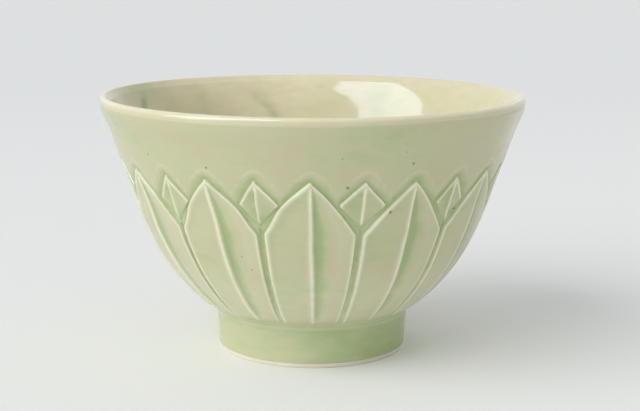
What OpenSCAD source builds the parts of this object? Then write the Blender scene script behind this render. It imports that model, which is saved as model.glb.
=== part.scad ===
// Footed rice bowl of carved and glazed stoneware: one clay body under five coats of glaze.
// The bowl stands on Z = 0 and its axis is Z. One large petal faces -Y.

/* [Bowl] */
// Outside diameter across the lip
rim_d = 119.2; // [112:0.2:128]
// Height from the table to the crown of the lip
bowl_h = 72.8; // [70:0.2:80]
// Thickness of the wall, clay and glaze together
wall_t = 3.4; // [3:0.1:4.2]
// Thickness of the floor, clay and glaze together
floor_t = 7; // [6:0.5:9]
// Angle above level at which the wall leaves the foot
foot_spread = 34; // [30:1:40]
// How far the low curve reaches out from the foot
foot_reach_w = 19; // [15:0.5:22]
// Lean of the wall out of upright just below the lip
rim_flare = 19.3; // [15:0.1:23]
// How far the flared curve reaches down from the lip
rim_reach_w = 34.2; // [26:0.2:38]

/* [Lip] */
// How much wider the rolled lip is than the wall
lip_swell_w = 0.3; // [0.1:0.1:1.2]
// Height of the oval that the lip is rolled to
lip_h = 2.8; // [2.4:0.2:4]
// Angle below level at which the oval runs into the wall
lip_tuck = 40; // [30:1:60]

/* [Foot] */
// Diameter of the foot where the wall starts
foot_top_d = 54.8; // [52:0.2:58]
// Diameter of the foot near the table
foot_base_d = 53; // [50:0.2:54]
// Height of the foot
foot_h = 12.3; // [10:0.1:14]
// Width of the fillet between the foot and the wall
foot_fillet_w = 0.8; // [0.6:0.1:1.2]
// Width of the soft edge round the standing ring
foot_edge_w = 0.9; // [0.6:0.1:1.4]
// Width of the flat ring that stands on the table
foot_ring_w = 3.8; // [3:0.1:5]
// Depth of the recess inside the foot, up to its glaze
recess_h = 6.2; // [5:0.1:7]
// How much narrower the recess is at its ceiling than at the ring
recess_taper_w = 0.8; // [0.4:0.1:1.4]
// Radius of the corner between the recess's side and its ceiling
recess_corner_r = 2; // [1.2:0.1:3]

/* [Petals] */
// Number of large petals round the bowl, with a small one between each two
petal_count = 12; // [10:1:14]
// Length of a large petal, upright from the foot to its tip
petal_h = 43.7; // [41:0.1:46]
// Height of the pointed end of a large petal
point_h = 14; // [12:0.1:16]
// Bulge of the pointed end's edges, 1 for straight
point_bulge = 0.92; // [0.8:0.01:1]
// Height of the pointed end of a small petal
small_point_h = 5.9; // [5:0.1:7]
// Width of the groove between two petals, crest to crest
groove_w = 2.4; // [2:0.1:3]
// Depth that the glazed grooves are carved to
groove_d = 0.9; // [0.6:0.05:1.1]
// Width of the groove's sloping side
groove_side_w = 0.8; // [0.6:0.05:1]
// Depth that the glazed petals are scooped to, either side of the midrib
scoop_d = 0.65; // [0.4:0.05:0.75]
// Height over which the carved ground fades into the plain band above
halo_h = 3.2; // [2.4:0.1:4]

/* [Glaze] */
// Thickness of the glaze outside and under the foot
glaze_t = 0.4; // [0.3:0.05:0.5]
// Extra thickness where the glaze pools in a groove
pool_t = 0.3; // [0.2:0.05:0.4]
// Thickness of the glaze inside the bowl
inner_glaze_t = 0.5; // [0.4:0.05:0.7]
// Thickness of the glaze on the lip, where it runs thin
lip_glaze_t = 0.3; // [0.2:0.05:0.4]
// Height of the bare clay edge under the glaze outside the foot
bare_h = 1.4; // [1:0.1:2]
// Height of the bare clay inside the foot's ring
bare_inside_h = 2; // [1.4:0.1:3]

/* [Hidden] */
$fn = 96;

clay_colour = "#d9cfb8";
outer_colour = "#bcbd96";
lip_colour = "#e4e0c2";
inner_colour = "#d0cfae";
foot_colour = "#b9c192";

seat_step_w = 0.15; // a coat laps this far over the clay's step, so that no two edges coincide
neck_h = 3; // how far the lip's clay is rooted in the wall
neck_share = 0.22; // half the root's thickness, as a share of the wall
lip_steps = 15; // straight pieces in the rolled lip's outline
curve_steps = 10; // straight pieces in the well's curve and in the wall above it
corner_steps = 5; // straight pieces in a small round corner

// The wall's outline: a cubic curve from the foot to the tuck under the lip
lip_half = [(wall_t + lip_swell_w) / 2, lip_h / 2];
lip_centre = [rim_d / 2 - lip_half.x, bowl_h - lip_half.y];
wall_top = lip_oval(-lip_tuck, 0);
seam_z = wall_top.y;
wall_start = [foot_top_d / 2 + foot_fillet_w, foot_h];
wall_curve = [
    wall_start,
    wall_start + foot_reach_w * [cos(foot_spread), sin(foot_spread)],
    wall_top - rim_reach_w * [sin(rim_flare), cos(rim_flare)],
    wall_top
];

function lip_oval(angle, inset) = [
    lip_centre.x + (lip_half.x - inset) * cos(angle),
    lip_centre.y + (lip_half.y - inset) * sin(angle)
];

// De Casteljau's rule: the point at share t of a curve with these control points
function bezier(points, t) = len(points) == 1
    ? points[0]
    : bezier([for (i = [1:len(points) - 1]) points[i - 1] * (1 - t) + points[i] * t], t);

function hodograph(points) = [for (i = [1:len(points) - 1]) points[i] - points[i - 1]];

// The share t at which the wall's curve reaches height z, by halving
function wall_share(z, low = 0, high = 1, tries = 22) =
    let (middle = (low + high) / 2)
    tries == 0 ? middle
    : bezier(wall_curve, middle).y < z ? wall_share(z, middle, high, tries - 1)
    : wall_share(z, low, middle, tries - 1);

// [height, radius of the outline, level distance that one unit of thickness takes there]
function wall_row(z) =
    let (share = wall_share(z), along = bezier(hodograph(wall_curve), share))
    [z, bezier(wall_curve, share).x, norm(along) / along.y];

function wall_radius(z, depth) = let (row = wall_row(z)) row[1] - depth * row[2];

function clamp(x) = min(max(x, 0), 1);

// ---- Petals: where the carved lines lie at each height ----
sector = 360 / petal_count;
half_sector = sector / 2;
tip_z = foot_h + petal_h;
shoulder_z = tip_z - point_h;
corner_z = tip_z - small_point_h;
halo_z = tip_z + halo_h;
tip_blunt = 0.35; // degrees that a petal's edge keeps from its midrib at a tip
half_lines = 8; // spaces between the carved lines of half a sector
ring_size = 2 * half_lines * petal_count;
ditch_share = 1 / 3; // most of a groove's width that one of its sides takes
shoulder_half = half_sector - groove_angle(wall_radius(shoulder_z, 0));
shoulder_run = shoulder_half * PI / 180 * wall_radius(shoulder_z, 0);
slant = norm([shoulder_run, point_h]) / point_h; // level width of a slanting groove, per unit
fork_z = tip_z - point_h * pow(1 - groove_w * slant / shoulder_run / 2, 1 / point_bulge);
small_start_h = 1.4; // height over which a small petal rises out of the groove's fork
joint_h = 1; // height of the pooled band in which the petals end, above the foot
scoop_start_h = 4; // height over which the panels' scoops start above the foot
joint_r = foot_top_d / 2 + foot_fillet_w / 2;
scoop_place_right = 0.3; // the right-hand panel is deepest beside the midrib
scoop_place_left = 0.68; // and the left-hand one beside the outline

function groove_angle(radius) = asin(groove_w / 2 / radius);

function degrees_wide(width, radius) = width / radius * 180 / PI;

// Half the width of a large petal, in degrees
function petal_half(z, radius) =
    z < shoulder_z ? half_sector - groove_angle(radius)
    : max(tip_blunt, shoulder_half * pow(clamp((tip_z - z) / point_h), point_bulge));

// Where the small petal's edge lies, in degrees from the large petal's midrib
function small_edge(z, radius) =
    let (
        lower = petal_half(z, radius) + degrees_wide(groove_w * slant, radius),
        corner_radius = wall_radius(corner_z, 0),
        corner = petal_half(corner_z, corner_radius) + degrees_wide(groove_w * slant, corner_radius),
        upper = half_sector - (half_sector - corner) * clamp((tip_z - z) / small_point_h)
    )
    min(z < corner_z ? lower : upper, half_sector - tip_blunt);

// Angles of a half sector's nine lines, from the large midrib to the small one
function lines(z, radius, scoop_place) =
    let (
        edge = petal_half(z, radius),
        small = small_edge(z, radius),
        side = min(degrees_wide(groove_side_w, radius), (small - edge) * ditch_share)
    )
    z >= halo_z ? [for (i = [0:half_lines]) half_sector * i / half_lines]
    : [
        0, edge * scoop_place, edge,
        edge + side, (edge + small) / 2, small - side,
        small, (small + half_sector) / 2, half_sector
    ];

// How deep each of the nine lines is carved: 0 on a crest, 1 on a groove's floor
function carving(z, radius) =
    let (
        gap = (small_edge(z, radius) - petal_half(z, radius)) * PI / 180 * radius,
        above = clamp((z - tip_z) / halo_h),
        crest = z > tip_z ? 1 - above : 0,
        sunk = max(crest, 1 - clamp((z - fork_z) / small_start_h)),
        fade = min(clamp((tip_z - z) / small_point_h), clamp((z - foot_h) / scoop_start_h)),
        scoop = scoop_d / groove_d * fade,
        small_scoop = scoop * clamp((z - fork_z) / (corner_z - fork_z)),
        ground = clamp(1 - (gap / 2 - groove_side_w) / halo_h)
    )
    [
        crest, max(crest, scoop), crest,
        1 - above, ground * (1 - above), 1 - above,
        sunk, max(sunk, small_scoop), sunk
    ];

// One ring of the carved wall at height z: the lines of every petal, right half then left half
function carved_ring(z, skin, cut) =
    let (
        line_z = max(z, foot_h + joint_h),
        row = wall_row(line_z),
        right = lines(line_z, row[1], scoop_place_right),
        left = lines(line_z, row[1], scoop_place_left),
        depths = carving(line_z, row[1])
    )
    [
        for (petal = [0:petal_count - 1], i = [-half_lines:half_lines - 1])
        let (
            angle = petal * sector + (i < 0 ? -left[-i] : right[i]) - 90,
            radius = z <= foot_h ? joint_r - skin : row[1] - row[2] * (skin + cut * depths[abs(i)])
        )
        [radius * cos(angle), radius * sin(angle), z]
    ];

// Heights of the rings: close ones for the glaze's face, and wider ones for the clay under it
petal_foot_z = foot_h + joint_h;
fork_top_z = fork_z + small_start_h;
over_tip_share = 1 / 4; // where the halo has a ring just above the tips
over_tip_z = tip_z + halo_h * over_tip_share;
face_steps = 5; // rings' spaces up the petals' sides
clay_steps = 3;
function steps_between(low, high, count) = [for (i = [1:count - 1]) low + (high - low) * i / count];
face_heights = concat(
    [foot_h, petal_foot_z], steps_between(petal_foot_z, shoulder_z, face_steps),
    [shoulder_z, fork_z, fork_top_z, corner_z, (corner_z + tip_z) / 2, tip_z, over_tip_z, halo_z, seam_z]
);
clay_heights = concat(
    [foot_h, petal_foot_z], steps_between(petal_foot_z, shoulder_z, clay_steps),
    [shoulder_z, fork_z, fork_top_z, corner_z, tip_z, over_tip_z, halo_z, seam_z]
);

function carved_points(heights, skin, cut) = [for (z = heights) each carved_ring(z, skin, cut)];

// Two triangles for each cell between neighbouring rings, facing outwards
function side_faces(rings, first) = [
    for (j = [0:rings - 2], i = [0:ring_size - 1])
    let (
        a = first + j * ring_size + i,
        b = first + j * ring_size + (i + 1) % ring_size,
        c = b + ring_size,
        d = a + ring_size
    )
    each [[a, c, b], [a, d, c]]
];

// A level band of triangles that joins an outer ring to an inner one, facing down
function rim_faces(outer, inner) = [
    for (i = [0:ring_size - 1])
    let (next = (i + 1) % ring_size)
    each [[outer + i, outer + next, inner + next], [outer + i, inner + next, inner + i]]
];

function reversed(list) = [for (i = [len(list) - 1:-1:0]) list[i]];

function flipped(faces) = [for (face = faces) reversed(face)];

// ---- Outlines that are turned about the axis, as [radius, height] points ----
// The inside from the middle of the well to the seam under the lip, at a depth below the wall's face
turn_z = foot_h + 2 * floor_t; // the well's curve runs into the wall this high
well_flat = 0.5; // share of the well's radius that its curve leaves level for
well_pull = 0.36; // and the share by which it comes up into the wall
function inside_path(depth, floor_z) =
    let (
        turn = wall_row(turn_z),
        end = [turn[1] - depth * turn[2], turn_z],
        slope = bezier(hodograph(wall_curve), wall_share(turn_z)),
        pull = slope / norm(slope) * end.x * well_pull,
        well = [[0, floor_z], [end.x * well_flat, floor_z], end - pull, end]
    )
    concat(
        [for (i = [0:curve_steps]) bezier(well, i / curve_steps)],
        [for (z = concat(steps_between(turn_z, seam_z, curve_steps), [seam_z])) [wall_radius(z, depth), z]]
    );

glazed_floor_z = recess_h + floor_t;
clay_inside = inside_path(wall_t - inner_glaze_t, glazed_floor_z - inner_glaze_t);
glazed_inside = inside_path(wall_t, glazed_floor_z);

// The rolled lip from its outer tuck over the crown, then straight down to the seam. It leaves the oval where
// a line from the seam's inner edge touches it.
seam_inside = [
    (wall_radius(seam_z, wall_t) - lip_centre.x) / lip_half.x,
    (seam_z - lip_centre.y) / lip_half.y
];
lip_leave = 360 + atan2(seam_inside.y, seam_inside.x) - acos(1 / norm(seam_inside));
function lip_arc(inset) = [
    for (i = [0:lip_steps]) lip_oval(-lip_tuck + (lip_leave + lip_tuck) * i / lip_steps, inset)
];
lip_clay = concat(
    [[wall_radius(seam_z, glaze_t) - seat_step_w, seam_z]],
    lip_arc(lip_glaze_t),
    [[wall_radius(seam_z, wall_t - inner_glaze_t) + seat_step_w, seam_z]]
);
lip_glazed = concat(lip_arc(0), [[wall_radius(seam_z, wall_t), seam_z]]);

// The foot's side, a straight taper
function foot_radius(z) = foot_base_d / 2 + (foot_top_d - foot_base_d) / 2 * z / foot_h;
ring_outer_r = foot_base_d / 2 - foot_edge_w;
ring_inner_r = ring_outer_r - foot_ring_w;
foot_clay = concat(
    [[ring_outer_r, 0]],
    [
        for (i = [1:corner_steps])
        let (angle = 90 * i / corner_steps, edge = foot_radius(bare_h) - glaze_t - ring_outer_r)
        [ring_outer_r + edge * sin(angle), bare_h * (1 - cos(angle))]
    ],
    [[foot_radius(foot_h) - glaze_t, foot_h]]
);
foot_glazed = concat(
    [for (z = [bare_h + glaze_t / 2, foot_h - foot_fillet_w]) [foot_radius(z), z]],
    [
        for (i = [1:corner_steps])
        let (angle = 90 * i / corner_steps)
        [
            foot_radius(foot_h) + (joint_r - foot_radius(foot_h)) * (1 - cos(angle)),
            foot_h - foot_fillet_w * (1 - sin(angle))
        ]
    ]
);

// The recess inside the foot, from near the standing ring up to the middle of its ceiling
function recess_radius(z) = ring_inner_r - recess_taper_w * z / recess_h;

function recess_path(inset, low_z) =
    let (
        ceiling_z = recess_h + glaze_t - inset,
        side_r = recess_radius(ceiling_z - recess_corner_r) - inset
    )
    concat(
        [[recess_radius(low_z) - inset, low_z]],
        [
            for (i = [0:corner_steps])
            let (angle = 90 * i / corner_steps)
            [
                side_r - recess_corner_r * (1 - cos(angle)),
                ceiling_z - recess_corner_r * (1 - sin(angle))
            ]
        ],
        [[0, ceiling_z]]
    );

// ---- Sub-parts ----
// The fired clay: the carved wall, the foot with its bare standing ring, and the lip's core
module clay_body() {
    color(clay_colour)
    union() {
        difference() {
            union() {
                carved_clay();
                foot_core();
            }
            turned(concat(clay_inside, [[0, seam_z]]));
            turned(concat([[0, 0]], recess_path(0, 0)));
        }
        lip_core();
    }
}

// The wall as a solid plug with the petals carved into it
module carved_clay() {
    rings = len(clay_heights);
    polyhedron(
        carved_points(clay_heights, glaze_t, groove_d + pool_t),
        concat(
            side_faces(rings, 0),
            [[for (i = [0:ring_size - 1]) i]],
            [[for (i = [ring_size - 1:-1:0]) (rings - 1) * ring_size + i]]
        )
    );
}

module foot_core() {
    root_r = foot_radius(foot_h) - glaze_t - seat_step_w;
    turned(concat([[0, 0]], foot_clay, [[root_r, petal_foot_z], [0, petal_foot_z]]));
}

module lip_core() {
    root_z = seam_z - neck_h;
    root_r = wall_radius(root_z, wall_t / 2);
    root_half = wall_t * neck_share;
    turned(concat(lip_clay, [[root_r - root_half, root_z], [root_r + root_half, root_z]]));
}

// The coat on the petals and the plain band, thin on the crests and pooled in the grooves
module outer_glaze() {
    face_rings = len(face_heights);
    clay_rings = len(clay_heights);
    clay_first = face_rings * ring_size;
    color(outer_colour)
    polyhedron(
        concat(
            carved_points(face_heights, 0, groove_d),
            carved_points(clay_heights, glaze_t, groove_d + pool_t)
        ),
        concat(
            side_faces(face_rings, 0),
            flipped(side_faces(clay_rings, clay_first)),
            rim_faces(0, clay_first),
            flipped(rim_faces((face_rings - 1) * ring_size, clay_first + (clay_rings - 1) * ring_size))
        )
    );
}

// The thin coat over the rolled lip
module lip_glaze() {
    color(lip_colour)
    turned(concat(lip_glazed, reversed(lip_clay)));
}

// The coat that lines the bowl
module inner_glaze() {
    color(inner_colour)
    turned(concat(glazed_inside, reversed(clay_inside)));
}

// The coat on the side of the foot, which pools in the fillet under the petals
module foot_glaze() {
    clay_low = [foot_radius(bare_h) - glaze_t, bare_h];
    clay_high = [foot_radius(foot_h) - glaze_t, foot_h];
    color(foot_colour)
    turned(concat([clay_low], foot_glazed, [clay_high]));
}

// The coat in the recess inside the foot
module base_glaze() {
    color(foot_colour)
    turned(concat(recess_path(glaze_t, bare_inside_h), reversed(recess_path(0, bare_inside_h))));
}

module turned(outline) {
    rotate_extrude()
    polygon(outline);
}

clay_body();
outer_glaze();
lip_glaze();
inner_glaze();
foot_glaze();
base_glaze();
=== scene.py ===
"""A footed rice bowl of carved stoneware under a soft green celadon, standing on a pale studio floor."""

import math

import bpy
import numpy as np
from mathutils import Matrix, Quaternion, Vector


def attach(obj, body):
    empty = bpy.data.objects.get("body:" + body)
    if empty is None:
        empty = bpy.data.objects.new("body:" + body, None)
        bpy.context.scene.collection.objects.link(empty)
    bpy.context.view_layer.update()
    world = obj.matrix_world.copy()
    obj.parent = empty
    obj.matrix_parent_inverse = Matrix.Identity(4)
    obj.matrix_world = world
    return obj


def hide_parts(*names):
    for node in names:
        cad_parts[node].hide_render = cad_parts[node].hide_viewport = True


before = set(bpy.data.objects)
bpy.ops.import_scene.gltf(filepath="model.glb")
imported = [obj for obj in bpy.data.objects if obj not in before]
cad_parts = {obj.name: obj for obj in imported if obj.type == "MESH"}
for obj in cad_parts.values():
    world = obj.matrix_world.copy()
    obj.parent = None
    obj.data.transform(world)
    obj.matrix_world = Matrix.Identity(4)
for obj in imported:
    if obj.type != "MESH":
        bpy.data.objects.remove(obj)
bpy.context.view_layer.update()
BODY = "root"
MM = 0.001


# ---- Studio: camera, floor, softbox and room light ----
# A short telephoto camera looks a little down on the bowl. The floor runs on as a pale seamless sheet. The light is
# that of a large window at the front left: it reaches everything evenly, and is seen in the glaze as a bright pane.
CAMERA_AT = (2.2, -411.6, 115.4)  # mm
CAMERA_DOWN = 10.30  # degrees below level
CAMERA_ROLL = 0.29
CAMERA_LENS = 82.25  # on a 36 mm sensor
FLOOR_HALF = 6.0  # m
# Painted shade: the floor paper's colour darkens farther back, standing in for the light that falls off there.
FLOOR_FRONT, FLOOR_BACK = "#fafbfa", "#eef0ef"  # the paper catches less light farther back
FLOOR_FRONT_Y, FLOOR_BACK_Y = -0.25, 0.7  # m, where the front tone ends and the back tone is reached
WINDOW_SIDE, WINDOW_UP = -56.0, 32.0  # degrees: to the left of the camera's side, and above level
WINDOW_SOFT = 58.0  # degrees that it fills
WINDOW_LIGHT = 1.66
PANE_SIDE, PANE_UP, PANE_TURN = -55.5, 33.5, 51.4  # degrees, the last one about its own middle
PANE_AWAY = 1.15  # m from the middle of the bowl
PANE_SIZE = (1.35, 0.61)  # m
PANE_WATTS = 16.3
PANE_COLOUR, ROOM_COLOUR = "#d8e9ff", "#fcfdff"
BOWL_MIDDLE = (0, 0, 0.04)  # m
ROOM_LIGHT = 0.55
BACKDROP_LIGHT = 0.35  # what a white backdrop adds to the room's light low behind the bowl
BEHIND_FULL = 0.6  # how far a direction points backwards where the backdrop is reached in full
BACKDROP_LOW, BACKDROP_TOP = 0.3, 0.7  # how far a direction points up where the backdrop starts to fade, and is gone


def linear(colour):
    """An sRGB hex colour as linear red, green, blue and an alpha of 1."""
    parts = [int(colour[i : i + 2], 16) / 255 for i in (1, 3, 5)]
    return [c / 12.92 if c <= 0.04045 else ((c + 0.055) / 1.055) ** 2.4 for c in parts] + [1.0]


def add_node(tree, kind, inputs=None, **fields):
    """Adds a shader node. fields are its own settings, and inputs give each socket a value or an output to take."""
    made = tree.nodes.new(kind)
    for field, value in fields.items():
        setattr(made, field, value)
    for name, value in (inputs or {}).items():
        if isinstance(value, bpy.types.NodeSocket):
            tree.links.new(value, made.inputs[name])
        else:
            made.inputs[name].default_value = value
    return made


def new_material(name):
    """An empty node material: its tree, its Principled shader and the material itself."""
    material = bpy.data.materials.new(name)
    material.use_nodes = True
    tree = material.node_tree
    return tree, tree.nodes["Principled BSDF"], material


camera = bpy.data.objects.new("camera", bpy.data.cameras.new("camera"))
bpy.context.scene.collection.objects.link(camera)
camera.data.sensor_width = 36
camera.data.lens = CAMERA_LENS
camera.data.clip_start = 0.01
camera.matrix_world = (
    Matrix.Translation(Vector(CAMERA_AT) * MM)
    @ Matrix.Rotation(math.radians(90 - CAMERA_DOWN), 4, "X")
    @ Matrix.Rotation(math.radians(CAMERA_ROLL), 4, "Z")
)
bpy.context.scene.camera = camera

floor_mesh = bpy.data.meshes.new("studio_floor")
floor_mesh.from_pydata(
    [(x, y, 0) for x, y in ((-1, -1), (1, -1), (1, 1), (-1, 1))], [], [(0, 1, 2, 3)]
)
floor_mesh.transform(Matrix.Scale(FLOOR_HALF, 4))
floor = bpy.data.objects.new("studio_floor", floor_mesh)
bpy.context.scene.collection.objects.link(floor)
tree, shader, floor_material = new_material("seamless studio paper")
place = add_node(tree, "ShaderNodeTexCoord").outputs["Object"]
along = add_node(tree, "ShaderNodeSeparateXYZ", {0: place})
farther = add_node(
    tree, "ShaderNodeMapRange", {"Value": along.outputs["Y"], "From Min": FLOOR_FRONT_Y, "From Max": FLOOR_BACK_Y}
)
paper = add_node(
    tree, "ShaderNodeMix",
    {"Factor": farther.outputs[0], "A": linear(FLOOR_FRONT), "B": linear(FLOOR_BACK)}, data_type="RGBA",
)
tree.links.new(paper.outputs["Result"], shader.inputs["Base Color"])
shader.inputs["Roughness"].default_value = 0.85
shader.inputs["Specular IOR Level"].default_value = 0.1
floor_mesh.materials.append(floor_material)


def towards(side, up):
    """The direction at an angle to the right of the camera's side and at an angle above level."""
    side, up = math.radians(side), math.radians(up)
    return Vector((math.sin(side) * math.cos(up), -math.cos(side) * math.cos(up), math.sin(up)))


window = bpy.data.objects.new("window_light", bpy.data.lights.new("window_light", "SUN"))
bpy.context.scene.collection.objects.link(window)
window.data.energy = WINDOW_LIGHT
window.data.angle = math.radians(WINDOW_SOFT)
window.rotation_euler = towards(WINDOW_SIDE, WINDOW_UP).to_track_quat("Z", "Y").to_euler()
window.visible_glossy = False

pane = bpy.data.objects.new("window_pane", bpy.data.lights.new("window_pane", "AREA"))
bpy.context.scene.collection.objects.link(pane)
pane.data.shape = "RECTANGLE"
pane.data.size, pane.data.size_y = PANE_SIZE
pane.data.energy = PANE_WATTS
pane.data.color = linear(PANE_COLOUR)[:3]
pane.location = Vector(BOWL_MIDDLE) + towards(PANE_SIDE, PANE_UP) * PANE_AWAY
turn = Quaternion((0, 0, 1), math.radians(PANE_TURN))
pane.rotation_euler = (towards(PANE_SIDE, PANE_UP).to_track_quat("Z", "Y") @ turn).to_euler()
pane.visible_diffuse = False

world = bpy.data.worlds.new("room")
bpy.context.scene.world = world
world.use_nodes = True
tree = world.node_tree
room = tree.nodes["Background"]
room.inputs["Color"].default_value = linear(ROOM_COLOUR)
facing = add_node(
    tree, "ShaderNodeSeparateXYZ", {0: add_node(tree, "ShaderNodeTexCoord").outputs["Generated"]}
)
behind = add_node(
    tree, "ShaderNodeMapRange",
    {"Value": facing.outputs["Y"], "From Min": 0.0, "From Max": BEHIND_FULL, "To Max": BACKDROP_LIGHT},
)
lower = add_node(
    tree, "ShaderNodeMapRange",
    {
        "Value": facing.outputs["Z"], "From Min": BACKDROP_LOW, "From Max": BACKDROP_TOP,
        "To Min": 1.0, "To Max": 0.0,
    },
)
backdrop = add_node(tree, "ShaderNodeMath", {0: behind.outputs[0], 1: lower.outputs[0]}, operation="MULTIPLY")
strength = add_node(tree, "ShaderNodeMath", {0: backdrop.outputs[0], 1: ROOM_LIGHT}, operation="ADD")
tree.links.new(strength.outputs[0], room.inputs["Strength"])
bpy.context.scene.view_settings.view_transform = "Standard"


# ---- Fired clay ----
# The thrown and carved stoneware body, with the foot turned on the wheel. All of it but the standing ring lies
# under glaze. Twelve large petals and twelve small ones are cut round the wall, each a little different.
RIM_D, BOWL_H, WALL_T, FLOOR_T = 119.2, 72.8, 3.4, 7.0  # mm, as all sizes of the bowl
FOOT_SPREAD, FOOT_REACH = 34.0, 19.0  # degrees above level at which the wall leaves the foot, and how far it holds
RIM_FLARE, RIM_REACH = 19.3, 34.2  # degrees from upright at which it reaches the lip, and how far it holds
LIP_HALF = np.array([1.1, 1.4])  # half the oval of the rolled lip, across and up
LIP_TUCK, LIP_START = 40.0, 20.0  # degrees below level where the wall's curve ends, and where the oval starts
LIP_THIN, LIP_THIN_H = 0.5, 8.0  # how much thinner the wall is at the top of the inside, and over what height
INSIDE_TOP_Z = 71.0
SWELL, SWELL_Z, SWELL_H = 0.35, 65.0, 2.5  # the wall swells a little under the lip
SWELL_EASE, SWELL_EASE_LOW, SWELL_EASE_H = 0.55, 1.3, 1.5  # a share of it goes again just below the lip's seam
BELLY, BELLY_Z, BELLY_H = 0.4, 34.0, 10.0  # and it swells a little round the belly
FOOT_TOP_R, FOOT_BASE_R, FOOT_H, FILLET = 27.4, 26.5, 12.3, 0.8
FOOT_EDGE, RING_W = 0.9, 3.8
RECESS_H, RECESS_TAPER, RECESS_CORNER = 6.2, 0.8, 2.0
GLAZE_T, INNER_GLAZE_T, LIP_GLAZE_T = 0.4, 0.5, 0.3
POOL_SHARE = 4 / 3  # the clay is cut this much deeper than the glaze's face
BARE_H, BARE_INSIDE_H = 1.4, 2.0
WALL_STEPS = 2000
BEYOND = 80  # steps of the wall's curve by which the inside's curve goes on straight past its end

PETALS = 12
SECTOR = 360 / PETALS
TIP_Z, POINT_H, POINT_BULGE = 56.0, 14.0, 0.92
SMALL_POINT_H, SMALL_HALF = 5.9, 5.7
POINT_START_Z, CORNER_Z = TIP_Z - POINT_H, TIP_Z - SMALL_POINT_H  # where the sides end and the points start
GROOVE_W, GROOVE_D, GROOVE_SIDE = 2.3, 0.75, 0.75
HALO_FROM, HALO_TO = 0.3, 2.9  # how far from an outline the ground above the petals starts to rise, and has risen
SCOOP_RIGHT, SCOOP_LEFT, SCOOP_SMALL = 0.72, 0.36, 0.6
FORK_Z, FORK_H = 43.9, 1.5

# How far the carver's hand left each petal from its even place, in degrees, from the front petal to the right
TIP_DRIFT = np.array([-0.2, -0.2, -0.5, 0.3, -0.4, 0.2, 0.5, -0.3, 0.1, -0.5, -0.9, -0.2])
RIB_DRIFT = np.array([0.1, 0.2, 0.0, 0.4, -0.3, 0.5, 0.2, -0.4, 0.3, 0.2, 0.3, 1.1])
RIB_FOOT_DRIFT = np.array([1.1, 1.8, 1.0, -0.5, 0.6, 1.2, -0.8, 0.4, 1.5, 3.0, 4.6, 1.9])
LEFT_DRIFT = np.array([0.0, -0.2, -0.5, 0.3, 0.5, -0.4, 0.2, 0.4, -0.3, 0.2, 0.4, 0.9])
RIGHT_DRIFT = np.array([-0.5, -0.4, 0.2, 0.5, -0.3, -0.2, 0.5, 0.1, 0.4, 0.3, 1.5, -0.2])
LEFT_FOOT_DRIFT = np.array([-0.6, -0.6, 0.4, -0.2, 0.5, 0.8, -0.4, 0.2, 0.9, 2.4, 4.2, 2.2])
RIGHT_FOOT_DRIFT = np.array([0.0, 0.1, 0.6, 0.2, 0.7, 0.3, -0.5, 0.6, 1.4, 3.2, 4.2, 0.6])
SMALL_DRIFT = np.array([-0.3, -0.6, 0.2, 0.4, -0.3, 0.3, -0.5, 0.2, 0.4, -0.2, 0.4, -0.5])
SMALL_LEFT = np.array([-0.9, 0.3, 0.2, -0.4, 0.3, 0.5, -0.2, 0.4, -0.5, 0.3, 1.0, 0.9])
SMALL_RIGHT = np.array([0.7, -1.0, 0.3, 0.6, -0.2, 0.4, 0.5, -0.4, 0.3, 0.2, 0.8, 0.5])
LEFT_BULGE = np.array([1.6, 0.2, 0.1, 0.6, 0.3, 0.9, 0.2, 0.7, 0.4, 0.8, 0.3, 1.0])
RIGHT_BULGE = np.array([0.2, 0.1, 0.4, 0.2, 0.8, 0.3, 0.6, 0.2, 0.9, 0.4, 0.6, 1.4])
TIP_RISE = np.array([-0.45, -1.1, -0.9, -0.3, -0.7, -0.2, -0.5, -0.4, -0.8, -0.3, -1.5, -1.0])  # mm
SMALL_RISE = np.array([-0.5, -1.0, -0.3, -0.5, -0.3, -0.7, -0.4, -0.2, -0.6, -0.4, -1.2, -0.35])
SCOOP_CHANGE = np.array([1.0, 0.95, 1.1, 0.9, 1.05, 1.0, 0.92, 1.08, 0.97, 1.03, 0.95, 1.05])


def bezier(points, share):
    """De Casteljau's rule: points of the curve at each share, by mixing neighbouring control points in turn."""
    layer = [np.outer(1 - share, a) + np.outer(share, b) for a, b in zip(points, points[1:])]
    while len(layer) > 1:
        layer = [
            a * (1 - share)[:, None] + b * share[:, None] for a, b in zip(layer, layer[1:])
        ]
    return layer[0]


lip_middle = np.array([RIM_D / 2, BOWL_H]) - LIP_HALF


def lip_arc(inset, low, high, steps):
    """Points of the rolled lip: an ellipse less the inset, from one angle to another, as radius and height."""
    angle = np.radians(np.linspace(low, high, steps))
    return lip_middle + (LIP_HALF - inset) * np.stack([np.cos(angle), np.sin(angle)], 1)


def smooth_step(x):
    """0 below 0, 1 above 1, and 3x2 - 2x3 between."""
    x = np.clip(x, 0, 1)
    return x * x * (3 - 2 * x)


def rising(x, start, span):
    """0 up to the start, 1 from a span above it, and a smooth step between."""
    return smooth_step((x - start) / span)


def bell(x, middle, width):
    """e to the minus squared distance from the middle, counted in widths."""
    return np.exp(-(((x - middle) / width) ** 2))


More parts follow.
